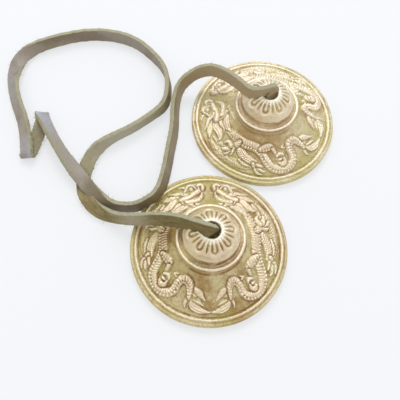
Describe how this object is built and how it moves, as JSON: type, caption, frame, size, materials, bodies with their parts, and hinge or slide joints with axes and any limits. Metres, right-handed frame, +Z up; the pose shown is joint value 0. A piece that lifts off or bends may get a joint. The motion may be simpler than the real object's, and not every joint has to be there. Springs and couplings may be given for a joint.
{
  "type": "finger cymbals",
  "caption": "Two cast bronze cymbals with domed centres and relief-decorated flanges, joined by a flat leather strap knotted inside each dome.",
  "frame": {"origin": "midway between the two cymbals, on the surface that their rims stand on", "axes": "+Y from the front cymbal's centre to the back cymbal's, +Z up through the domes; the strap lies to -X"},
  "size_m": [0.1483, 0.131, 0.03],
  "materials": {
    "bronze": "cast and burnished, dark in the recesses",
    "leather": "olive brown, smooth outside and suede inside"
  },
  "bodies": {
    "strap": {"strap": "leather"},
    "front_knot": {"front_knot": "leather"},
    "back_knot": {"back_knot": "leather"},
    "front_cymbal": {"front_cymbal": "bronze"},
    "back_cymbal": {"back_cymbal": "bronze"}
  },
  "joints": [
    {"name": "front_swing", "type": "hinge", "parent": "strap", "child": "front_knot", "pos_m": [0, -0.033, 0.023], "axis": [1, 0, 0], "range_deg": [-15, 0]},
    {"name": "front_spin", "type": "hinge", "parent": "front_knot", "child": "front_cymbal", "pos_m": [0, -0.033, 0.016], "axis": [0, 0, 1], "continuous": true},
    {"name": "back_swing", "type": "hinge", "parent": "strap", "child": "back_knot", "pos_m": [0, 0.033, 0.023], "axis": [1, 0, 0], "range_deg": [0, 15]},
    {"name": "back_spin", "type": "hinge", "parent": "back_knot", "child": "back_cymbal", "pos_m": [0, 0.033, 0.016], "axis": [0, 0, 1], "continuous": true}
  ]
}
